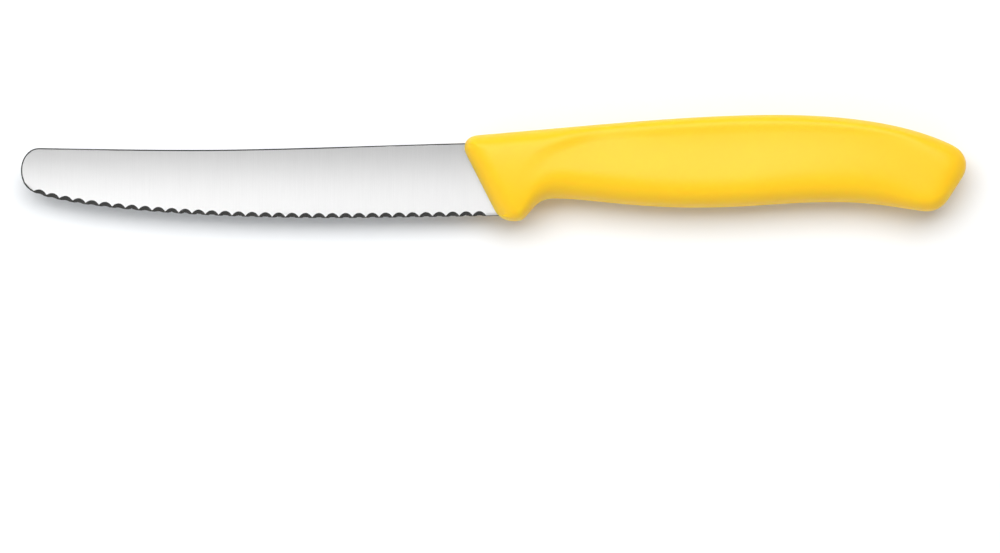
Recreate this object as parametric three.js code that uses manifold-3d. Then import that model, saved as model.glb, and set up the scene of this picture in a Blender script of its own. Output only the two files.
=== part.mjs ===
// Serrated table knife: a stamped steel blade whose tang is moulded into a plastic handle.
// Millimetres. The knife lies on its side: +X runs from tip to butt, +Y from cutting edge to spine, +Z is up.
// While drawing, X = 0, Y = 0 is where the slanted front of the handle crosses the middle of the blade.

import * as THREE from "three";
import { mergeVertices } from "three/addons/utils/BufferGeometryUtils.js";
import Module from "manifold-3d";

// Blade: outline
const BLADE_LENGTH = 107.6;       // tip to the handle's front, along the middle of the blade
const SPINE_AT_HANDLE = 8.7;      // height of the spine where it meets the handle
const SPINE_HOLLOW = 7.07;        // lowest height of the gently hollow spine
const SPINE_HOLLOW_FROM_TIP = 40.5;
const SPINE_AT_TIP = 7.5;
const TIP_ROUND_LENGTH = 4.2;     // the rounded upper corner of the tip
const TIP_ROUND_HEIGHT = 5.2;
const NOSE_LENGTH = 4.9;          // the rounded lower corner of the tip
const NOSE_DROP = 3.6;            // how far below the middle it ends
const NOSE_ANGLE = 17.4;          // degrees that the edge falls there
const EDGE_BELLY = 8.95;          // deepest point of the cutting edge below the middle
const EDGE_BELLY_FROM_TIP = 72.0;
const EDGE_AT_HANDLE = 8.35;
const EDGE_BREAK = 0.25;          // rounded edge of the sheet

// Blade: sheet, grind and serration
const SHEET = 1.2;                // thickness of the sheet, kept at the spine and the tang
const EDGE_THICKNESS = 0.5;       // left at the cutting edge by the flat grind
const SCALLOP_PITCH = 3.16;
const SCALLOP_HEIGHT = 1.15;      // height of a ground scallop on the face
const SCALLOP_RECESS = 0.18;      // how far a scallop bites into the cutting edge
const SCALLOP_RADIUS = 2.95;      // radius of the grinding wheel's crown
const SCALLOP_START = 6.3;        // bare edge left at the tip, along the edge
const PLAIN_HEEL = 2.6;           // bare edge left in front of the handle

// Tang, hidden in the handle
const ROOT_DEPTH = 4.0;           // how deep the full height of the blade sits in the handle
const TANG_LENGTH = 72.0;         // reach of the tang behind the handle's front
const TANG_TOP = 8.2;
const TANG_HEIGHT = 8.6;
const TANG_NOSE = 2.5;            // corner radius of the tang's end
const LOCK_HOLE = 5.0;            // diameter of the holes that the plastic fills
const LOCK_HOLE_FIRST = 24.0;
const LOCK_HOLE_SPACING = 32.0;
const MOULD_GAP = 0.1;            // clearance kept between the steel and the plastic

// Handle: outline
const HANDLE_LENGTH = 114.4;      // front, at the middle of the blade, to the end of the butt
const FRONT_ANGLE = 27.0;         // degrees that the front leans forward
const FRONT_TOP_RADIUS = 3.0;
const TOP_AT_FRONT = 10.57;       // height of the top line at the front
const TOP_ANGLE = 4.9;            // degrees that it rises
const CREST_HEIGHT = 15.33;       // highest point of the top line
const CREST_FROM_BUTT = 44.0;
const BUTT_ANGLE = 33.0;          // degrees that the butt leans
const BUTT_FALL = 27.0;           // degrees that the top line falls at the butt
const BUTT_END_HEIGHT = 3.4;      // height of the butt's farthest point
const BUTT_TOP_RADIUS = 5.2;
const BUTT_BOTTOM_RADIUS = 6.0;
const SWELL_DEPTH = 7.33;         // depth of the butt's swelling
const SWELL_ANGLE = 8.0;          // degrees that the bottom line falls towards it
const SWELL_FROM_BUTT = 10.4;
const WAIST_DEPTH = 5.23;         // shallowest point of the waist
const WAIST_FROM_BUTT = 30.4;
const BELLY_DEPTH = 6.54;         // lowest point of the belly
const BELLY_FROM_NOTCH = 33.5;
const NOTCH_DEPTH = 4.36;         // top of the notch for the first finger
const NOTCH_RADIUS = 5.6;
const GUARD_DEPTH = 9.7;          // lowest point of the finger guard
const GUARD_FRONT_RADIUS = 5.0;
const GUARD_FLAT = 0.9;
const GUARD_REAR_RADIUS = 2.5;
const GUARD_FLANK_ANGLE = 48.5;   // degrees of the straight flank between guard and notch

// Handle: thickness and form of its sides
const HANDLE_THICKNESS = 13.4;
const TOP_ROUND = 2.6;            // width of the rounding along the top, seen from the side
const TOP_FULLNESS = 2.1;         // power of that rounding: 2 is an ellipse, more is squarer
const FRONT_ROUND = 4.5;
const FRONT_FULLNESS = 2.0;
const BUTT_ROUND = 5.2;
const BUTT_FULLNESS = 2.4;
const GUARD_ROUND = 2.1;
const GUARD_FULLNESS = 2.2;
const BELLY_ROUND = 7.1;          // up to the ridge that the palm feels
const BELLY_FULLNESS = 1.75;
const CROWN_RADIUS = 35.0;        // the crowned cheek behind the blade
const CROWN_HEIGHT = 1.5;         // height of its thickest line
const CROWN_FADE_START = 15.0;
const CROWN_FADE_END = 40.0;
const PANEL_DEPTH = 1.8;          // how far the grip panel is hollowed
const PANEL_RISE = 9.0;           // width over which it rises to the ridge above the belly
const PANEL_START = 11.3;         // its front border, behind the cheek
const PANEL_LEAN = 9.0;           // degrees that this border leans back
const PANEL_FRONT_RAMP = 11.0;    // width over which it sinks in there
const PANEL_CORNER_LENGTH = 12.5; // its long rounded corner under the top
const PANEL_CORNER_HEIGHT = 9.5;
const PANEL_FADE_FROM_BUTT = 59.0;
const PANEL_END_FROM_BUTT = 14.0;
const RIDGE_SOFTNESS = 0.35;
const LEVEL_CUT = 0.1;            // taken off the thickest places, so that the knife lies level on its side
const LEVEL_SOFTNESS = 0.06;

// Colours
const STEEL = 0xd6d6d4;
const YELLOW = 0xfbd840;

const wasm = await Module();
wasm.setup();

const rad = THREE.MathUtils.degToRad;
const at = (x, y) => new THREE.Vector2(x, y);
const heading = (degrees) => at(Math.cos(rad(degrees)), Math.sin(rad(degrees)));
const along = (from, direction, distance) => from.clone().addScaledVector(direction, distance);

// Front of the handle at a given height
const frontX = (y) => -y * Math.tan(rad(FRONT_ANGLE));

function solidOf(geometry) {
  const plain = geometry.index ? geometry.toNonIndexed() : geometry.clone();
  plain.deleteAttribute("normal");
  plain.deleteAttribute("uv");
  const merged = mergeVertices(plain, 1e-4);
  const mesh = new wasm.Mesh({
    numProp: 3,
    vertProperties: new Float32Array(merged.attributes.position.array),
    triVerts: new Uint32Array(merged.index.array),
  });
  return new wasm.Manifold(mesh);
}

function geometryOf(solid) {
  const mesh = solid.getMesh();
  const geometry = new THREE.BufferGeometry();
  geometry.setAttribute("position", new THREE.BufferAttribute(new Float32Array(mesh.vertProperties), 3));
  geometry.setIndex(new THREE.BufferAttribute(new Uint32Array(mesh.triVerts), 1));
  const flat = geometry.toNonIndexed();
  flat.computeVertexNormals();
  return flat;
}

// A cubic curve that leaves and arrives in given directions, with its two handle lengths
function sweep(from, leave, leaveLength, to, arrive, arriveLength) {
  const first = along(from, leave, leaveLength);
  const second = along(to, arrive, -arriveLength);
  return new THREE.CubicBezierCurve(from, first, second, to);
}

function arc(center, radius, startDegrees, endDegrees) {
  const clockwise = endDegrees < startDegrees;
  return new THREE.EllipseCurve(
    center.x, center.y, radius, radius, rad(startDegrees), rad(endDegrees), clockwise, 0);
}

function chain(...curves) {
  const path = new THREE.CurvePath();
  curves.forEach((curve) => path.add(curve));
  return path;
}

// Blade

const tipX = -BLADE_LENGTH;
const noseStart = at(tipX, SPINE_AT_TIP - TIP_ROUND_HEIGHT);
const noseEnd = at(tipX + NOSE_LENGTH, -NOSE_DROP);
const bellyX = tipX + EDGE_BELLY_FROM_TIP;
const rootX = (y) => frontX(y) + ROOT_DEPTH;

// Cutting edge from the foremost point of the tip, round the nose, to where it ends inside the handle
function edgeCurve() {
  const belly = at(bellyX, -EDGE_BELLY);
  const heel = at(rootX(-EDGE_AT_HANDLE), -EDGE_AT_HANDLE);
  const drop = noseStart.y - noseEnd.y;
  const fore = belly.x - noseEnd.x;
  const rear = heel.x - belly.x;
  return chain(
    sweep(noseStart, heading(-90), drop * 0.75, noseEnd, heading(-NOSE_ANGLE), NOSE_LENGTH * 0.4),
    sweep(noseEnd, heading(-NOSE_ANGLE), fore * 0.16, belly, heading(0), fore * 0.42),
    sweep(belly, heading(0), rear * 0.32, heel, heading(1), rear * 0.21),
  );
}

function spineCurve() {
  const root = at(rootX(SPINE_AT_HANDLE), SPINE_AT_HANDLE);
  const hollow = at(tipX + SPINE_HOLLOW_FROM_TIP, SPINE_HOLLOW);
  const tip = at(tipX + TIP_ROUND_LENGTH, SPINE_AT_TIP);
  const rear = root.x - hollow.x;
  const fore = hollow.x - tip.x;
  return chain(
    sweep(root, heading(181.2), rear * 0.3, hollow, heading(180), rear * 0.3),
    sweep(hollow, heading(180), fore * 0.33, tip, heading(179), fore * 0.33),
  );
}

// Outline of the blade without its tang, anticlockwise from the heel
function bladeOutline() {
  const roundCenter = at(tipX + TIP_ROUND_LENGTH, noseStart.y);
  const round = new THREE.EllipseCurve(
    roundCenter.x, roundCenter.y, TIP_ROUND_LENGTH, TIP_ROUND_HEIGHT, Math.PI / 2, Math.PI, false, 0);
  const points = [
    ...spineCurve().getSpacedPoints(30),
    ...round.getPoints(10),
    ...edgeCurve().getSpacedPoints(110),
  ];
  return new THREE.Shape(points.filter((p, i) => i === 0 || p.distanceTo(points[i - 1]) > 1e-3));
}

// Half thickness of the flat-ground blade at a given height
function halfSheet(y) {
  const share = (y + EDGE_BELLY) / (SPINE_AT_HANDLE + EDGE_BELLY);
  return THREE.MathUtils.lerp(EDGE_THICKNESS, SHEET, share) / 2;
}

// The blade's plate: the blank with its rounded edge, tapered by the grind. A cutter for the handle is grown.
function platePiece(grow) {
  const blank = new THREE.ExtrudeGeometry(bladeOutline(), {
    depth: SHEET - 2 * EDGE_BREAK,
    steps: 1,
    bevelEnabled: true,
    bevelThickness: EDGE_BREAK,
    bevelSize: EDGE_BREAK,
    bevelOffset: grow - EDGE_BREAK,
    bevelSegments: 3,
  });
  blank.translate(0, 0, EDGE_BREAK - SHEET / 2);
  const position = blank.attributes.position;
  for (let i = 0; i < position.count; i += 1) {
    const share = position.getZ(i) / (SHEET / 2);
    position.setZ(i, share * (halfSheet(position.getY(i)) + grow));
  }
  return solidOf(blank);
}

// The tang: a strip of full sheet thickness with a rounded end and round holes
function tangPiece(grow) {
  const top = TANG_TOP + grow;
  const bottom = TANG_TOP - TANG_HEIGHT - grow;
  const start = frontX(TANG_TOP - TANG_HEIGHT) + ROOT_DEPTH / 2;
  const end = TANG_LENGTH + grow;
  const nose = TANG_NOSE + grow;
  const shape = new THREE.Shape();
  shape.moveTo(start, bottom);
  shape.lineTo(end - nose, bottom);
  shape.absarc(end - nose, bottom + nose, nose, -Math.PI / 2, 0, false);
  shape.absarc(end - nose, top - nose, nose, 0, Math.PI / 2, false);
  shape.lineTo(start, top);
  const middle = TANG_TOP - TANG_HEIGHT / 2;
  for (const x of [LOCK_HOLE_FIRST, LOCK_HOLE_FIRST + LOCK_HOLE_SPACING]) {
    const hole = new THREE.Path();
    hole.absarc(x, middle, LOCK_HOLE / 2 - grow, 0, 2 * Math.PI, true);
    shape.holes.push(hole);
  }
  const thickness = SHEET + 2 * grow;
  const strip = new THREE.ExtrudeGeometry(shape, { depth: thickness, bevelEnabled: false, curveSegments: 16 });
  strip.translate(0, 0, -thickness / 2);
  return solidOf(strip);
}

// One grinding wheel: its crown meets the face above the edge and runs out at the back of the edge
function scallopWheel(point, tangent) {
  const outward = new THREE.Vector3(tangent.y, -tangent.x, 0);
  const half = halfSheet(point.y);
  const fall = SCALLOP_HEIGHT - SCALLOP_RECESS;
  const slope = Math.atan2(2 * half, fall);
  const face = new THREE.Vector3(0, 0, 1);
  const axis = outward.clone().multiplyScalar(Math.cos(slope)).addScaledVector(face, -Math.sin(slope));
  const normal = outward.clone().multiplyScalar(Math.sin(slope)).addScaledVector(face, Math.cos(slope));
  const center = new THREE.Vector3(point.x, point.y, -half)
    .addScaledVector(outward, -SCALLOP_RECESS)
    .addScaledVector(normal, SCALLOP_RADIUS);
  const wheel = new THREE.CylinderGeometry(SCALLOP_RADIUS, SCALLOP_RADIUS, 8 * SCALLOP_HEIGHT, 72, 1);
  const across = new THREE.Vector3().crossVectors(axis, normal);
  wheel.applyMatrix4(new THREE.Matrix4().makeBasis(across, axis, normal).setPosition(center));
  return solidOf(wheel);
}

function bladePiece() {
  let blade = platePiece(0).add(tangPiece(0));
  const edge = edgeCurve();
  const run = edge.getLength() - SCALLOP_START - PLAIN_HEEL - ROOT_DEPTH;
  const count = Math.round(run / SCALLOP_PITCH);
  for (let i = 0; i < count; i += 1) {
    const share = (SCALLOP_START + ((i + 0.5) * run) / count) / edge.getLength();
    blade = blade.subtract(scallopWheel(edge.getPointAt(share), edge.getTangentAt(share)));
  }
  return blade;
}

// Handle

const buttX = HANDLE_LENGTH;
const guardCenter = at(0, GUARD_FRONT_RADIUS - GUARD_DEPTH);
guardCenter.x = frontX(guardCenter.y) + GUARD_FRONT_RADIUS / Math.cos(rad(FRONT_ANGLE));

// A round corner between two lines, each given by a point and the direction of travel
function corner(from, leave, to, arrive, radius) {
  const cross = leave.x * arrive.y - leave.y * arrive.x;
  const gap = to.clone().sub(from);
  const apex = along(from, leave, (gap.x * arrive.y - gap.y * arrive.x) / cross);
  const turn = Math.acos(THREE.MathUtils.clamp(leave.dot(arrive), -1, 1));
  const reach = radius * Math.tan(turn / 2);
  const side = Math.sign(cross);
  const start = along(apex, leave, -reach);
  const center = along(start, at(-leave.y, leave.x), side * radius);
  const startAngle = Math.atan2(start.y - center.y, start.x - center.x);
  const piece = (a, b) => new THREE.EllipseCurve(
    center.x, center.y, radius, radius, startAngle + side * turn * a, startAngle + side * turn * b, side < 0, 0);
  return { start, end: along(apex, arrive, reach), first: piece(0, 0.5), second: piece(0.5, 1) };
}

// The four sides of the handle's outline. They meet in the middle of the rounded corners.
function handleSides() {
  const up = heading(90 + FRONT_ANGLE);
  const rise = heading(TOP_ANGLE);
  const topStart = at(0, TOP_AT_FRONT);
  const frontTop = corner(at(0, 0), up, topStart, rise, FRONT_TOP_RADIUS);
  const crest = at(buttX - CREST_FROM_BUTT, CREST_HEIGHT);
  const fall = heading(-BUTT_FALL);
  const buttCenter = at(buttX - BUTT_TOP_RADIUS, BUTT_END_HEIGHT);
  const buttStart = along(buttCenter, heading(90 - BUTT_FALL), BUTT_TOP_RADIUS);
  const buttTurn = along(buttCenter, heading(-BUTT_ANGLE), BUTT_TOP_RADIUS);
  const swell = at(buttX - SWELL_FROM_BUTT, -SWELL_DEPTH);
  const droop = heading(-SWELL_ANGLE);
  const buttBottom = corner(swell, droop, buttTurn, heading(90 - BUTT_ANGLE), BUTT_BOTTOM_RADIUS);
  const waist = at(buttX - WAIST_FROM_BUTT, -WAIST_DEPTH);
  const rearCenter = at(guardCenter.x + GUARD_FLAT, GUARD_REAR_RADIUS - GUARD_DEPTH);
  const flank = heading(GUARD_FLANK_ANGLE);
  const flankStart = along(rearCenter, heading(GUARD_FLANK_ANGLE - 90), GUARD_REAR_RADIUS);
  const notchDrop = NOTCH_RADIUS * (1 - Math.cos(rad(GUARD_FLANK_ANGLE)));
  const flankRun = (-NOTCH_DEPTH - notchDrop - flankStart.y) / flank.y;
  const flankEnd = along(flankStart, flank, flankRun);
  const notchCenter = along(flankEnd, heading(GUARD_FLANK_ANGLE - 90), NOTCH_RADIUS);
  const notch = at(notchCenter.x, -NOTCH_DEPTH);
  const belly = at(notch.x + BELLY_FROM_NOTCH, -BELLY_DEPTH);

  const topFore = crest.x - frontTop.end.x;
  const topRear = buttStart.x - crest.x;
  const grip = belly.x - notch.x;
  const back = waist.x - belly.x;
  const tail = buttBottom.start.x - waist.x;
  const guardMiddle = (180 + FRONT_ANGLE + 270) / 2;
  const buttMiddle = (90 - BUTT_FALL - BUTT_ANGLE) / 2;

  const front = chain(
    arc(guardCenter, GUARD_FRONT_RADIUS, guardMiddle, 180 + FRONT_ANGLE),
    new THREE.LineCurve(along(guardCenter, heading(180 + FRONT_ANGLE), GUARD_FRONT_RADIUS), frontTop.start),
    frontTop.first,
  );
  const top = chain(
    frontTop.second,
    sweep(frontTop.end, rise, topFore * 0.43, crest, heading(0), topFore * 0.29),
    sweep(crest, heading(0), topRear * 0.29, buttStart, fall, topRear * 0.32),
    arc(buttCenter, BUTT_TOP_RADIUS, 90 - BUTT_FALL, buttMiddle),
  );
  const butt = chain(
    buttBottom.second,
    new THREE.LineCurve(buttBottom.end, buttTurn),
    arc(buttCenter, BUTT_TOP_RADIUS, -BUTT_ANGLE, buttMiddle),
  );
  const bottom = chain(
    arc(guardCenter, GUARD_FRONT_RADIUS, guardMiddle, 270),
    new THREE.LineCurve(at(guardCenter.x, -GUARD_DEPTH), at(rearCenter.x, -GUARD_DEPTH)),
    arc(rearCenter, GUARD_REAR_RADIUS, -90, GUARD_FLANK_ANGLE - 90),
    new THREE.LineCurve(flankStart, flankEnd),
    arc(notchCenter, NOTCH_RADIUS, GUARD_FLANK_ANGLE + 90, 90),
    sweep(notch, heading(0), grip * 0.24, belly, heading(0), grip * 0.44),
    sweep(belly, heading(0), back * 0.43, waist, heading(0), back * 0.41),
    sweep(waist, heading(0), tail * 0.4, buttBottom.start, droop, tail * 0.28),
    buttBottom.first,
  );
  return { front, top, butt, bottom, flankStart, notch, swell };
}

// A side of the outline as short straight pieces, each end with the width and fullness of the rounding there
function sampled(curve, count, roundAt) {
  return curve.getSpacedPoints(count).map((point) => ({ point, round: roundAt(point.x) }));
}

// Distance from a point to a sampled side, with the rounding at the nearest place
function nearest(point, samples) {
  const best = { distance: Infinity, round: null };
  for (let i = 1; i < samples.length; i += 1) {
    const a = samples[i - 1];
    const b = samples[i];
    const span = b.point.clone().sub(a.point);
    const share = THREE.MathUtils.clamp(point.clone().sub(a.point).dot(span) / span.lengthSq(), 0, 1);
    const distance = along(a.point, span, share).distanceTo(point);
    if (distance < best.distance) {
      best.distance = distance;
      best.round = a.round.clone().lerp(b.round, share);
    }
  }
  return best;
}

const smooth = THREE.MathUtils.smoothstep;
const mix = THREE.MathUtils.lerp;

// A distance inside a border, with a soft start
const inward = (distance) => (distance + Math.hypot(distance, RIDGE_SOFTNESS)) / 2;

// Marks from 0 to 1 along a line: close together in the roundings at both ends, and between them even or,
// with a growth over 1, wider and wider
function marks(length, startRound, startSteps, middleSteps, growth, endRound, endSteps) {
  const list = [];
  for (let i = 0; i < startSteps; i += 1) {
    list.push(startRound * (1 - Math.cos((Math.PI / 2) * (i / startSteps))));
  }
  for (let i = 0; i <= middleSteps; i += 1) {
    list.push(mix(startRound, length - endRound, (i / middleSteps) ** growth));
  }
  for (let i = endSteps - 1; i >= 0; i -= 1) {
    list.push(length - endRound * (1 - Math.cos((Math.PI / 2) * (i / endSteps))));
  }
  return list.map((mark) => mark / length);
}

const END_STEPS = 6;

// Half thickness of the handle at a point of its side view
function halfHandle(point, sides) {
  const top = nearest(point, sides.top);
  const bottom = nearest(point, sides.bottom);
  const edges = [top, bottom, nearest(point, sides.front), nearest(point, sides.butt)];
  const edge = edges.reduce((a, b) => (b.distance < a.distance ? b : a));
  const { x: width, y: fullness } = edge.round;
  const rounding = (1 - (1 - Math.min(1, edge.distance / width)) ** fullness) ** (1 / fullness);

  const cheek = 1 - smooth(point.x, CROWN_FADE_START, CROWN_FADE_END);
  const crown = (cheek * (point.y - CROWN_HEIGHT) ** 2) / (2 * CROWN_RADIUS);

  const cornerEnd = PANEL_START + PANEL_CORNER_LENGTH;
  const cornerMiddle = cornerEnd - PANEL_CORNER_LENGTH / 2;
  const lead = PANEL_FRONT_RAMP * smooth(point.x, cornerMiddle, cornerEnd + PANEL_FRONT_RAMP);
  const back = point.x - point.y * Math.tan(rad(PANEL_LEAN));
  const ahead = Math.max(0, cornerEnd - back) / PANEL_CORNER_LENGTH;
  const high = Math.max(0, 1 - (top.distance - TOP_ROUND + lead) / PANEL_CORNER_HEIGHT);
  const reach = Math.hypot(ahead, high);
  const turn = reach > 0 ? (high / reach) ** 2 : 0;
  const radius = mix(PANEL_CORNER_LENGTH, PANEL_CORNER_HEIGHT, turn);
  const behind = inward((1 - reach) * radius) / PANEL_FRONT_RAMP;
  const above = Math.min(1, inward(bottom.distance - bottom.round.x) / PANEL_RISE);
  const front = 1 - (1 - Math.min(1, behind)) ** 2;
  const rise = (3 * above - above ** 3) / 2;
  const fade = 1 - smooth(point.x, buttX - PANEL_FADE_FROM_BUTT, buttX - PANEL_END_FROM_BUTT);
  const hollow = PANEL_DEPTH * fade * front * rise;

  const widest = HANDLE_THICKNESS / 2;
  const uncut = widest + LEVEL_CUT - crown - hollow;
  const level = (uncut + widest - Math.hypot(uncut - widest, LEVEL_SOFTNESS)) / 2;
  return level * rounding;
}

// The outside of the moulding: a net stretched between the four sides, raised to the half thickness
function handleSkin() {
  const { front, top, butt, bottom, flankStart, notch, swell } = handleSides();
  const frontEdge = at(FRONT_ROUND, FRONT_FULLNESS);
  const topEdge = at(TOP_ROUND, TOP_FULLNESS);
  const buttEdge = at(BUTT_ROUND, BUTT_FULLNESS);
  const guardEdge = at(GUARD_ROUND, GUARD_FULLNESS);
  const bellyEdge = at(BELLY_ROUND, BELLY_FULLNESS);
  const alongTop = (x) => topEdge.clone().lerp(buttEdge, smooth(x, buttX - 3 * BUTT_ROUND, buttX - BUTT_ROUND));
  const alongBottom = (x) => guardEdge.clone()
    .lerp(bellyEdge, smooth(x, flankStart.x, notch.x + NOTCH_RADIUS / 2))
    .lerp(buttEdge, smooth(x, swell.x - SWELL_FROM_BUTT, swell.x));
  const sides = {
    front: sampled(front, 40, () => frontEdge),
    top: sampled(top, 220, alongTop),
    butt: sampled(butt, 40, () => buttEdge),
    bottom: sampled(bottom, 280, alongBottom),
  };
  const corners = [bottom.getPointAt(0), bottom.getPointAt(1), top.getPointAt(0), top.getPointAt(1)];
  const columns = marks(bottom.getLength(), FRONT_ROUND, END_STEPS, 62, 1.3, BUTT_ROUND, END_STEPS);
  const net = columns.map((u) => {
    const low = bottom.getPointAt(u);
    const high = top.getPointAt(u);
    const rows = marks(high.distanceTo(low), alongBottom(low.x).x, 8, 9, 1, alongTop(high.x).x, 6);
    return rows.map((v) => {
      const point = low.clone().lerp(high, v);
      point.add(front.getPointAt(v).lerp(butt.getPointAt(v), u));
      point.sub(corners[0].clone().lerp(corners[1], u).lerp(corners[2].clone().lerp(corners[3], u), v));
      const onOutline = u === 0 || u === 1 || v === 0 || v === 1;
      return new THREE.Vector3(point.x, point.y, onOutline ? 0 : halfHandle(point, sides));
    });
  });

  const triangles = [];
  const face = (a, b, c) => {
    triangles.push(a, b, c);
    const under = [c, b, a].map((p) => new THREE.Vector3(p.x, p.y, -p.z));
    triangles.push(...under);
  };
  const lastColumn = net.length - 1;
  const lastRow = net[0].length - 1;
  for (let i = 0; i < lastColumn; i += 1) {
    for (let j = 0; j < lastRow; j += 1) {
      const [a, b, c, d] = [net[i][j], net[i + 1][j], net[i + 1][j + 1], net[i][j + 1]];
      const atEnd = i < END_STEPS || i >= lastColumn - END_STEPS;
      const center = [a, b, c, d].reduce((sum, p) => sum.addScaledVector(p, 0.25), new THREE.Vector3());
      const height = halfHandle(at(center.x, center.y), sides);
      const nearer = Math.abs((a.z + c.z) / 2 - height) < Math.abs((b.z + d.z) / 2 - height);
      const rising = atEnd ? i < lastColumn / 2 === j < lastRow / 2 : nearer;
      if (rising) {
        face(a, b, c);
        face(a, c, d);
      } else {
        face(a, b, d);
        face(b, c, d);
      }
    }
  }
  return solidOf(new THREE.BufferGeometry().setFromPoints(triangles));
}

function handlePiece() {
  const slot = platePiece(MOULD_GAP).add(tangPiece(MOULD_GAP));
  return handleSkin().subtract(slot);
}

// Assembly, with the middle of its footprint at the origin and its lowest point at Z = 0

function piece(name, solid, color, roughness, metalness) {
  const material = new THREE.MeshStandardMaterial({ color, roughness, metalness });
  const mesh = new THREE.Mesh(geometryOf(solid), material);
  mesh.name = name;
  return mesh;
}

const knife = new THREE.Group();
knife.add(piece("blade", bladePiece(), STEEL, 0.3, 1.0));
knife.add(piece("handle", handlePiece(), YELLOW, 0.45, 0.0));

const box = new THREE.Box3().setFromObject(knife);
const middle = box.getCenter(new THREE.Vector3());
knife.position.set(-middle.x, -middle.y, -box.min.z);
knife.updateMatrixWorld(true);

export default knife;
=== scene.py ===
# Serrated kitchen knife lying on its side, seen from straight above on a white studio table.
import math

import bpy
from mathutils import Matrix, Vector


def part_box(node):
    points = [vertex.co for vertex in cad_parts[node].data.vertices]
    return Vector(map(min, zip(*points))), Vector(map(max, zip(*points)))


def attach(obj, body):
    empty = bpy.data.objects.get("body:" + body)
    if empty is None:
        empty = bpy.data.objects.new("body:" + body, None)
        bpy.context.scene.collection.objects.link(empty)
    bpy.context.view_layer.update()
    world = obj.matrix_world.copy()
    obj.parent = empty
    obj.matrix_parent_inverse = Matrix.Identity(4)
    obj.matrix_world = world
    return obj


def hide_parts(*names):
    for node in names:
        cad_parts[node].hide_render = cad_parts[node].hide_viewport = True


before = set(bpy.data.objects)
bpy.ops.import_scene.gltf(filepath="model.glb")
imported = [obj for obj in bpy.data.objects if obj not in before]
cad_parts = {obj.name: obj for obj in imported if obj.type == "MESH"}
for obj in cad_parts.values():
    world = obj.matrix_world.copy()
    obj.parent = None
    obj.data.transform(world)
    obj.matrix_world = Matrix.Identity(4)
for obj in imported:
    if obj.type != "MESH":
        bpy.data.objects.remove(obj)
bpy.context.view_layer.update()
MM = 0.001

# Blade: one strip of hardenable stainless steel, 1.2 mm thick at the spine, stamped to its outline and then
# belt-ground across both faces, which leaves them slightly hollow. A wheel cuts the scallops into the upper
# face only. Behind the heel it goes on as a tang, around which the handle is moulded.
MERGE_DISTANCE = 0.002 * MM
SLIVER_WIDTH = 0.015 * MM
HOLLOW_SHARE = 0.38
HOLLOW_STRIP = 1.4 * MM
HOLLOW_COLUMN = 6.0 * MM
FACE_LEAN = 8.0
SCALLOP_LEAN = 48.0
SCALLOP_FACING = -0.3
RIM_LEAN = 60.0
RIM_REACH = 0.05 * MM
RIM_REACH_BELOW = 0.1 * MM
SMOOTH_ANGLE = math.radians(12)
GRIND_LINE = 0.1 * MM
GRIND_LENGTH = 9.0 * MM
GRIND_DEPTH = 0.02 * MM
WHEEL_LINE = 0.12 * MM
STAMP_GRAIN = 0.15 * MM
TONE_FROM = 0.3
TONE_TO = 0.7

blade_low, blade_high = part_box("blade")
handle_low, handle_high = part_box("handle")


def merged_copy(node, name):
    """A CAD node's mesh as a new piece, its loose triangles merged, all selected in edit mode."""
    piece = bpy.data.objects.new(name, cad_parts[node].data.copy())
    piece.data.materials.clear()
    bpy.context.scene.collection.objects.link(piece)
    bpy.ops.object.select_all(action="DESELECT")
    piece.select_set(True)
    bpy.context.view_layer.objects.active = piece
    bpy.ops.object.mode_set(mode="EDIT")
    bpy.ops.mesh.select_all(action="SELECT")
    bpy.ops.mesh.remove_doubles(threshold=MERGE_DISTANCE)
    return piece


# Slivers are dissolved, and the ground faces are then cut into strips along the blade and columns across it,
# so that they can be hollowed
blade = merged_copy("blade", "serrated_blade")
bpy.ops.mesh.dissolve_degenerate(threshold=SLIVER_WIDTH)
height = blade_high.y - blade_low.y
for i in range(1, int(height / HOLLOW_STRIP) + 1):
    bpy.ops.mesh.select_all(action="SELECT")
    bpy.ops.mesh.bisect(plane_co=(0, blade_low.y + i * HOLLOW_STRIP, 0), plane_no=(0, 1, 0))
for i in range(1, int((handle_low.x - blade_low.x) / HOLLOW_COLUMN) + 1):
    bpy.ops.mesh.select_all(action="SELECT")
    bpy.ops.mesh.bisect(plane_co=(blade_low.x + i * HOLLOW_COLUMN, 0, 0), plane_no=(1, 0, 0))
bpy.ops.object.mode_set(mode="OBJECT")

# Each face has the finish of the tool that made it, told by how many degrees it leans from lying flat. The
# scallops lean towards the cutting edge.
BELT, WHEEL, STAMP, TUMBLING = range(4)
finishes = []
for face in blade.data.polygons:
    lean = math.degrees(face.normal.angle(Vector((0, 0, 1))))
    from_flat = min(lean, 180 - lean)
    if from_flat < FACE_LEAN:
        finishes.append(BELT)
    elif lean < SCALLOP_LEAN and face.normal.y < SCALLOP_FACING:
        finishes.append(WHEEL)
    elif from_flat > RIM_LEAN:
        finishes.append(STAMP)
    else:
        finishes.append(TUMBLING)

# Tumbling rounds the rim a little way into the ground faces. It reaches further where the outline faces
# down, towards the cutting edge, which widens the rim's painted dark line on the side where shade falls.
ground_corners = set()
rim_lean = {}
for face, finish in zip(blade.data.polygons, finishes):
    for corner in face.vertices:
        if finish == BELT:
            ground_corners.add(corner)
        elif finish == TUMBLING:
            rim_lean[corner] = rim_lean.get(corner, Vector((0, 0))) + face.normal.xy
for corner in ground_corners & rim_lean.keys():
    outwards = rim_lean[corner].normalized()
    reach = RIM_REACH + RIM_REACH_BELOW * max(0.0, -outwards.y)
    blade.data.vertices[corner].co.xy -= reach * outwards

middle_y = (blade_low.y + blade_high.y) / 2
middle_z = (blade_low.z + blade_high.z) / 2


def hollowed(place):
    """The height of a point on the blade, or on the slot that holds it, after the hollow grind."""
    across = (place.y - middle_y) / (height / 2)
    return middle_z + (place.z - middle_z) * (1 - HOLLOW_SHARE * max(0.0, 1 - across ** 2))


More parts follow.
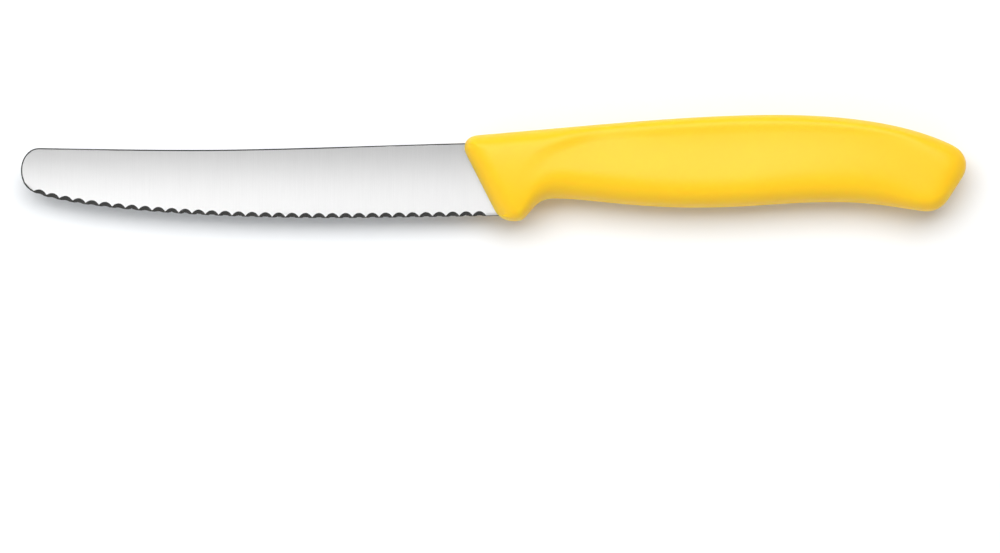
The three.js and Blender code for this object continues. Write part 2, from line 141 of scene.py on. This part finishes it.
for vertex in blade.data.vertices:
    vertex.co.z = hollowed(vertex.co)
bpy.ops.object.shade_smooth_by_angle(angle=SMOOTH_ANGLE)


def linear(code):
    """A colour given as sRGB hex, as the linear values that shaders take."""
    parts = [int(code[i:i + 2], 16) / 255 for i in (0, 2, 4)]
    return [c / 12.92 if c <= 0.04045 else ((c + 0.055) / 1.055) ** 2.4 for c in parts] + [1.0]


def add_node(tree, kind, sockets=None, **settings):
    """Adds a node with its settings, and gives each socket a value or a link from another node."""
    made = tree.nodes.new(kind)
    for name, value in settings.items():
        setattr(made, name, value)
    for name, value in (sockets or {}).items():
        if isinstance(value, bpy.types.NodeSocket):
            tree.links.new(value, made.inputs[name])
        else:
            made.inputs[name].default_value = value
    return made


def new_material(name):
    """An empty material, with its node tree and the output that its shader goes to."""
    material = bpy.data.materials.new(name)
    material.use_nodes = True
    material.node_tree.nodes.clear()
    return material, material.node_tree, add_node(material.node_tree, "ShaderNodeOutputMaterial")


# Stainless steel, belt-ground to a satin: a soft mirror, with faint lines across the blade from the belt.
# The real lines are a few hundredths of a millimetre apart, and are drawn coarser so that they show.
satin_steel, tree, output = new_material("belt_ground_stainless_steel")
place = add_node(tree, "ShaderNodeTexCoord").outputs["Object"]
belt = add_node(tree, "ShaderNodeMapping", {
    "Vector": place, "Scale": (1 / GRIND_LINE, 1 / GRIND_LENGTH, 1 / GRIND_LENGTH)})
lines = add_node(tree, "ShaderNodeTexNoise", {
    "Vector": belt.outputs["Vector"], "Scale": 1.0, "Detail": 3.0, "Roughness": 0.6})
tone = add_node(tree, "ShaderNodeValToRGB", {"Fac": lines.outputs["Fac"]})
tone.color_ramp.elements[0].position = TONE_FROM
tone.color_ramp.elements[0].color = linear("e9e9e9")
tone.color_ramp.elements[1].position = TONE_TO
tone.color_ramp.elements[1].color = linear("eeeeee")
dullness = add_node(tree, "ShaderNodeMapRange", {
    "Value": lines.outputs["Fac"], "To Min": 0.27, "To Max": 0.31})
relief = add_node(tree, "ShaderNodeBump", {
    "Height": lines.outputs["Fac"], "Strength": 0.015, "Distance": GRIND_DEPTH})
steel = add_node(tree, "ShaderNodeBsdfPrincipled", {
    "Base Color": tone.outputs["Color"], "Metallic": 1.0, "Roughness": dullness.outputs["Result"],
    "Normal": relief.outputs["Normal"]})
tree.links.new(steel.outputs["BSDF"], output.inputs["Surface"])

# The same steel in the scallops, with its colour painted darker than the faces: a painted dark reflection
# that stands in for the shaded surroundings the hollows face. Fine lines run down each hollow, and are drawn
# coarser too.
scallop_steel_painted_dark, tree, output = new_material("wheel_ground_steel_painted_dark_reflection")
place = add_node(tree, "ShaderNodeTexCoord").outputs["Object"]
wheel = add_node(tree, "ShaderNodeMapping", {
    "Vector": place, "Scale": (1 / WHEEL_LINE, 1 / GRIND_LENGTH, 1 / GRIND_LENGTH)})
lines = add_node(tree, "ShaderNodeTexNoise", {
    "Vector": wheel.outputs["Vector"], "Scale": 1.0, "Detail": 2.0})
# Painted dark reflection: the scallops' base colour is set far darker than the faces
tone = add_node(tree, "ShaderNodeValToRGB", {"Fac": lines.outputs["Fac"]})
tone.color_ramp.elements[0].position = TONE_FROM
tone.color_ramp.elements[0].color = linear("4e4e4d")
tone.color_ramp.elements[1].position = TONE_TO
tone.color_ramp.elements[1].color = linear("5c5c5b")
relief = add_node(tree, "ShaderNodeBump", {
    "Height": lines.outputs["Fac"], "Strength": 0.1, "Distance": GRIND_DEPTH})
steel = add_node(tree, "ShaderNodeBsdfPrincipled", {
    "Base Color": tone.outputs["Color"], "Metallic": 1.0, "Roughness": 0.22,
    "Normal": relief.outputs["Normal"]})
tree.links.new(steel.outputs["BSDF"], output.inputs["Surface"])

# The stamped edge round the outline, left as the press sheared it: finely pitted and duller than the faces,
# and its colour painted darker than theirs as well, a painted dark reflection along the outline.
stamped_steel_dull_and_painted_dark, tree, output = new_material("stamped_steel_dull_and_painted_dark")
place = add_node(tree, "ShaderNodeTexCoord").outputs["Object"]
pits = add_node(tree, "ShaderNodeTexNoise", {"Vector": place, "Scale": 1 / STAMP_GRAIN, "Detail": 2.0})
# Painted dark reflection: the edge's colour is set darker than the faces
tone = add_node(tree, "ShaderNodeValToRGB", {"Fac": pits.outputs["Fac"]})
tone.color_ramp.elements[0].position = TONE_FROM
tone.color_ramp.elements[0].color = linear("7c7c7b")
tone.color_ramp.elements[1].position = TONE_TO
tone.color_ramp.elements[1].color = linear("8e8e8d")
steel = add_node(tree, "ShaderNodeBsdfPrincipled", {
    "Base Color": tone.outputs["Color"], "Metallic": 1.0, "Roughness": 0.45})
tree.links.new(steel.outputs["BSDF"], output.inputs["Surface"])

# The rim between that edge and the faces, rounded in a tumbling drum: matt and finely pitted, with its
# colour painted near black as a painted dark reflection, which makes it the darkest line on the blade.
tumbled_steel_painted_dark, tree, output = new_material("tumbled_steel_painted_dark_reflection")
place = add_node(tree, "ShaderNodeTexCoord").outputs["Object"]
pits = add_node(tree, "ShaderNodeTexNoise", {"Vector": place, "Scale": 1 / STAMP_GRAIN, "Detail": 2.0})
# Painted dark reflection: the rim's colour is set near black
tone = add_node(tree, "ShaderNodeValToRGB", {"Fac": pits.outputs["Fac"]})
tone.color_ramp.elements[0].position = TONE_FROM
tone.color_ramp.elements[0].color = linear("3e3e3d")
tone.color_ramp.elements[1].position = TONE_TO
tone.color_ramp.elements[1].color = linear("4a4a49")
steel = add_node(tree, "ShaderNodeBsdfPrincipled", {
    "Base Color": tone.outputs["Color"], "Metallic": 1.0, "Roughness": 0.75})
tree.links.new(steel.outputs["BSDF"], output.inputs["Surface"])

# The four steels go on in the order of their tools
for material in (satin_steel, scallop_steel_painted_dark, stamped_steel_dull_and_painted_dark, tumbled_steel_painted_dark):
    blade.data.materials.append(material)
for face, finish in zip(blade.data.polygons, finishes):
    face.material_index = finish

# The borders between these finishes are crisp, however little the faces lean there
bpy.ops.object.mode_set(mode="EDIT")
for finish in (BELT, WHEEL, STAMP, TUMBLING):
    bpy.ops.mesh.select_mode(type="FACE")
    bpy.ops.mesh.select_all(action="DESELECT")
    blade.active_material_index = finish
    bpy.ops.object.material_slot_select()
    bpy.ops.mesh.region_to_loop()
    bpy.ops.mesh.mark_sharp()
bpy.ops.object.mode_set(mode="OBJECT")
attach(blade, "root")
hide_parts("blade")

# Handle: one polypropylene moulding, shot around the tang in a two-part mould. Its sides are crowned behind
# the blade, hollowed for the fingers above a soft ridge, and rounded down to the belly.
CREASE_ANGLE = math.radians(40)
QUAD_BEND = math.radians(40)
QUAD_SKEW = math.radians(60)
CORE_DEPTH = 1.0 * MM
SKIN_DEPTH = 3.0 * MM
END_INSET = 0.5 * MM
HALFWAY = 0.5
BELLY_STRETCH = 0.5
BACK_STRETCH = 0.32
GUARD_START = 14.0 * MM
GUARD_END = 28.0 * MM
SIDE_LEVEL = 4.4 * MM
POLISH_STEP = 0.5
POLISH_PASSES = 5
ROUNDING_LEVELS = 2
PRESS_DEPTH = 0.3 * MM
PRESS_FRONT = 14.5 * MM
PRESS_CORNER = 27.0 * MM
PRESS_BUTT = 10.0 * MM
PRESS_FADE = 15.0 * MM
PRESS_TOP = 0.865
PRESS_DEEPEST = 0.74
PRESS_FOOT = 0.28
RIM_ROUNDNESS = 2.5
RIM_SLOPE = 0.13
SATIN_GRAIN = 0.35 * MM
GRAIN_DEPTH = 0.05 * MM
CLOUD_SIZE = 18.0 * MM
GLOW_DEPTH = 4.0 * MM
PARTING_WIDTH = 0.18 * MM
PARTING_HEIGHT = 0.03 * MM

handle = merged_copy("handle", "moulded_handle")
bpy.ops.mesh.tris_convert_to_quads(face_threshold=QUAD_BEND, shape_threshold=QUAD_SKEW)
bpy.ops.mesh.select_all(action="DESELECT")
bpy.ops.mesh.select_mode(type="EDGE")
bpy.ops.mesh.edges_select_sharp(sharpness=CREASE_ANGLE)
bpy.ops.transform.edge_crease(value=1.0)
bpy.ops.mesh.select_mode(type="VERT")
bpy.ops.mesh.select_all(action="DESELECT")
bpy.ops.object.mode_set(mode="OBJECT")
mould_plane = (handle_low.z + handle_high.z) / 2
beside_tang = mould_plane + CORE_DEPTH


def ramp(value, start, end):
    """How far a value has come from start to end, from 0 to 1."""
    return min(1.0, max(0.0, (value - start) / (end - start)))


def eased(share):
    """A share from 0 to 1 with a soft start and a soft end."""
    return share * share * (3 - 2 * share)


def across_grip(place):
    """How far a point lies from the belly to the back, from 0 to 1, and the distance between them."""
    along = min(max(place.x, handle_low.x + END_INSET), handle_high.x - END_INSET)
    back = handle.ray_cast((along, 2 * handle_high.y, beside_tang), (0, -1, 0))[1].y
    belly = handle.ray_cast((along, 2 * handle_low.y, beside_tang), (0, 1, 0))[1].y
    return ramp(place.y, belly, back), back - belly


# Behind the guard the flats of both sides are drawn out towards the back and the belly, which makes the
# roundings there tighter. The walls of the slot follow the hollow of the blade that they are moulded on.
bpy.context.view_layer.update()
drawn_out = []
for vertex in handle.data.vertices:
    share, width = across_grip(vertex.co)
    stretch = BACK_STRETCH if share > HALFWAY else BELLY_STRETCH
    pull = stretch * math.sin(math.tau * (share - HALFWAY)) / math.tau * width
    pull *= ramp(abs(vertex.co.z - mould_plane), CORE_DEPTH, SKIN_DEPTH)
    pull *= eased(ramp(vertex.co.x, handle_low.x + GUARD_START, handle_low.x + GUARD_END))
    drawn_out.append(vertex.co.y + pull)
for vertex, y in zip(handle.data.vertices, drawn_out):
    if abs(vertex.co.z - mould_plane) < CORE_DEPTH:
        vertex.co.z = hollowed(vertex.co)
    vertex.co.y = y

# The ridges of the two sides are softened a little, as a polished mould leaves them
for vertex in handle.data.vertices:
    vertex.select = abs(vertex.co.z - mould_plane) > SIDE_LEVEL
bpy.ops.object.mode_set(mode="EDIT")
bpy.ops.mesh.vertices_smooth(factor=POLISH_STEP, repeat=POLISH_PASSES)
bpy.ops.object.mode_set(mode="OBJECT")
rounding = handle.modifiers.new("rounding", "SUBSURF")
rounding.levels = ROUNDING_LEVELS
rounding.render_levels = ROUNDING_LEVELS
bpy.ops.object.modifier_apply(modifier=rounding.name)

# The hollow for the fingers is pressed in within a rim, which runs along the back and rounds a corner down
# behind the guard. Towards the belly and the butt the hollow runs out.
bpy.context.view_layer.update()
press_front = handle_low.x + PRESS_FRONT
press_end = handle_high.x - PRESS_BUTT
pressed = []
for vertex in handle.data.vertices:
    share = across_grip(vertex.co)[0]
    near_front = ramp(vertex.co.x, press_front + PRESS_CORNER, press_front - RIM_SLOPE * PRESS_CORNER)
    near_front *= 1 + RIM_SLOPE
    near_back = max(share - PRESS_FOOT, 0) / (PRESS_TOP - PRESS_FOOT)
    near_rim = (near_front ** RIM_ROUNDNESS + near_back ** RIM_ROUNDNESS) ** (1 / RIM_ROUNDNESS)
    press = PRESS_DEPTH * ramp(abs(vertex.co.z - mould_plane), CORE_DEPTH, SKIN_DEPTH)
    press *= eased(ramp(near_rim, 1 + RIM_SLOPE, 1 - RIM_SLOPE))
    press *= eased(ramp(share, PRESS_FOOT, PRESS_DEEPEST))
    press *= eased(ramp(vertex.co.x, press_end, press_end - PRESS_FADE))
    pressed.append(vertex.co.z - math.copysign(press, vertex.co.z - mould_plane))
for vertex, z in zip(handle.data.vertices, pressed):
    vertex.co.z = z
bpy.ops.object.shade_smooth_by_angle(angle=CREASE_ANGLE)

# Polypropylene, dyed yellow in the mass and moulded against a finely etched tool: a satin sheen with no
# sharp highlight, colour that glows orange where light passes through the edges, and a hairline where the
# mould parts. The etched grain is about a tenth of a millimetre, and is drawn coarser so that it shows.
yellow_plastic, tree, output = new_material("moulded_yellow_polypropylene")
place = add_node(tree, "ShaderNodeTexCoord").outputs["Object"]
grain = add_node(tree, "ShaderNodeTexNoise", {
    "Vector": place, "Scale": 1 / SATIN_GRAIN, "Detail": 2.0, "Roughness": 0.5})
cloud = add_node(tree, "ShaderNodeTexNoise", {"Vector": place, "Scale": 1 / CLOUD_SIZE, "Detail": 1.0})
tone = add_node(tree, "ShaderNodeValToRGB", {"Fac": cloud.outputs["Fac"]})
tone.color_ramp.elements[0].position = TONE_FROM
tone.color_ramp.elements[0].color = linear("ffc914")
tone.color_ramp.elements[1].position = TONE_TO
tone.color_ramp.elements[1].color = linear("ffcb17")
dullness = add_node(tree, "ShaderNodeMapRange", {
    "Value": grain.outputs["Fac"], "To Min": 0.43, "To Max": 0.53})
depth = add_node(tree, "ShaderNodeSeparateXYZ", {"Vector": place})
offset = add_node(tree, "ShaderNodeMath", {0: depth.outputs["Z"], 1: mould_plane}, operation="SUBTRACT")
distance = add_node(tree, "ShaderNodeMath", {0: offset.outputs["Value"]}, operation="ABSOLUTE")
parting = add_node(tree, "ShaderNodeMapRange", {
    "Value": distance.outputs["Value"], "From Min": 0.0, "From Max": PARTING_WIDTH,
    "To Min": 1.0, "To Max": 0.0}, interpolation_type="SMOOTHSTEP")
hairline = add_node(tree, "ShaderNodeBump", {
    "Height": parting.outputs["Result"], "Strength": 1.0, "Distance": PARTING_HEIGHT})
relief = add_node(tree, "ShaderNodeBump", {
    "Height": grain.outputs["Fac"], "Strength": 0.06, "Distance": GRAIN_DEPTH,
    "Normal": hairline.outputs["Normal"]})
plastic = add_node(tree, "ShaderNodeBsdfPrincipled", {
    "Base Color": tone.outputs["Color"], "Roughness": dullness.outputs["Result"],
    "IOR": 1.49, "Specular IOR Level": 0.38,
    "Subsurface Weight": 0.5, "Subsurface Radius": (1.0, 0.4, 0.08), "Subsurface Scale": GLOW_DEPTH,
    "Normal": relief.outputs["Normal"]})
tree.links.new(plastic.outputs["BSDF"], output.inputs["Surface"])

handle.data.materials.append(yellow_plastic)
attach(handle, "root")
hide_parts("handle")

# Table: a white studio top, sprayed matt, on which the knife lies. It is large enough for its edges to stay
# out of the picture.
TABLE_SIZE = 6.0
bpy.ops.object.select_all(action="DESELECT")
bpy.ops.mesh.primitive_plane_add(size=TABLE_SIZE)
table = bpy.context.object
table.name = "table"
white_top, tree, output = new_material("matt_white_paint")
paint = add_node(tree, "ShaderNodeBsdfPrincipled", {"Base Color": linear("f4f6f8"), "Roughness": 0.9})
tree.links.new(paint.outputs["BSDF"], output.inputs["Surface"])
table.data.materials.append(white_top)

# Light: a softbox high behind the spine, in a dim white tent that is brightest beyond the blade's tip.
# A broad card in front lifts the belly of the handle, and a dark flag low behind makes the steel stand out
# from the table when it is seen from the front.
SOFTBOX_SIZE = (2.6, 1.42)
SOFTBOX_PLACE = Vector((-0.15, 0.92, 1.77))
SOFTBOX_POWER = 48.6
TENT_MIDDLE = 0.32
TENT_LEFT = 0.66
TENT_RIGHT = 0.34
TENT_END_FROM = 0.35
TENT_END_TO = 0.7
CARD_GLOW = 0.32
CARD_FROM = -0.45
CARD_TO = -0.75
FLAG_SHADE = 0.25
FLAG_BACK_FROM = 0.1
FLAG_BACK_TO = 0.4
FLAG_TOP_FROM = 0.75
FLAG_TOP_TO = 0.5
softbox_light = bpy.data.lights.new("softbox", "AREA")
softbox_light.shape = "RECTANGLE"
softbox_light.size, softbox_light.size_y = SOFTBOX_SIZE
softbox_light.energy = SOFTBOX_POWER
softbox = bpy.data.objects.new("softbox", softbox_light)
softbox.location = SOFTBOX_PLACE
softbox.rotation_euler = (-SOFTBOX_PLACE).to_track_quat("-Z", "Y").to_euler()
softbox.visible_camera = False
bpy.context.scene.collection.objects.link(softbox)

# The parts of the tent are told by the direction from the knife: X to the butt, Y to the spine and Z upwards
world = bpy.data.worlds.new("white_tent")
world.use_nodes = True
tree = world.node_tree
tree.nodes.clear()
towards = add_node(tree, "ShaderNodeSeparateXYZ", {
    "Vector": add_node(tree, "ShaderNodeTexCoord").outputs["Generated"]})
left_end = add_node(tree, "ShaderNodeMapRange", {
    "Value": towards.outputs["X"], "From Min": -TENT_END_FROM, "From Max": -TENT_END_TO,
    "To Min": TENT_MIDDLE, "To Max": TENT_LEFT})
right_end = add_node(tree, "ShaderNodeMapRange", {
    "Value": towards.outputs["X"], "From Min": TENT_END_FROM, "From Max": TENT_END_TO,
    "To Min": 0.0, "To Max": TENT_RIGHT - TENT_MIDDLE})
card = add_node(tree, "ShaderNodeMapRange", {
    "Value": towards.outputs["Y"], "From Min": CARD_FROM, "From Max": CARD_TO,
    "To Min": 0.0, "To Max": CARD_GLOW})
ends = add_node(tree, "ShaderNodeMath", {
    0: left_end.outputs["Result"], 1: right_end.outputs["Result"]}, operation="ADD")
glow = add_node(tree, "ShaderNodeMath", {
    0: ends.outputs["Value"], 1: card.outputs["Result"]}, operation="ADD")
behind = add_node(tree, "ShaderNodeMapRange", {
    "Value": towards.outputs["Y"], "From Min": FLAG_BACK_FROM, "From Max": FLAG_BACK_TO})
low = add_node(tree, "ShaderNodeMapRange", {
    "Value": towards.outputs["Z"], "From Min": FLAG_TOP_FROM, "From Max": FLAG_TOP_TO})
flag = add_node(tree, "ShaderNodeMath", {
    0: behind.outputs["Result"], 1: low.outputs["Result"]}, operation="MULTIPLY")
shade = add_node(tree, "ShaderNodeMapRange", {
    "Value": flag.outputs["Value"], "To Min": 1.0, "To Max": FLAG_SHADE})
flagged = add_node(tree, "ShaderNodeMath", {
    0: glow.outputs["Value"], 1: shade.outputs["Result"]}, operation="MULTIPLY")
tent = add_node(tree, "ShaderNodeBackground", {
    "Color": linear("ffffff"), "Strength": flagged.outputs["Value"]})
add_node(tree, "ShaderNodeOutputWorld", {"Surface": tent.outputs["Background"]})
bpy.context.scene.world = world
bpy.context.scene.view_settings.view_transform = "Standard"

# Camera: straight above the knife with a long lens, the blade to the left and the spine to the top. The
# picture's width and centre are measured at the level where the mould parts.
CAMERA_HEIGHT = 1.2
SENSOR_WIDTH = 36.0
PICTURE_WIDTH = 234.92 * MM
PICTURE_CENTRE = (1.53 * MM, -25.49 * MM)
lens = bpy.data.cameras.new("camera")
lens.sensor_width = SENSOR_WIDTH
lens.lens = SENSOR_WIDTH * CAMERA_HEIGHT / PICTURE_WIDTH
camera = bpy.data.objects.new("camera", lens)
camera.location = (*PICTURE_CENTRE, mould_plane + CAMERA_HEIGHT)
bpy.context.scene.collection.objects.link(camera)
bpy.context.scene.camera = camera
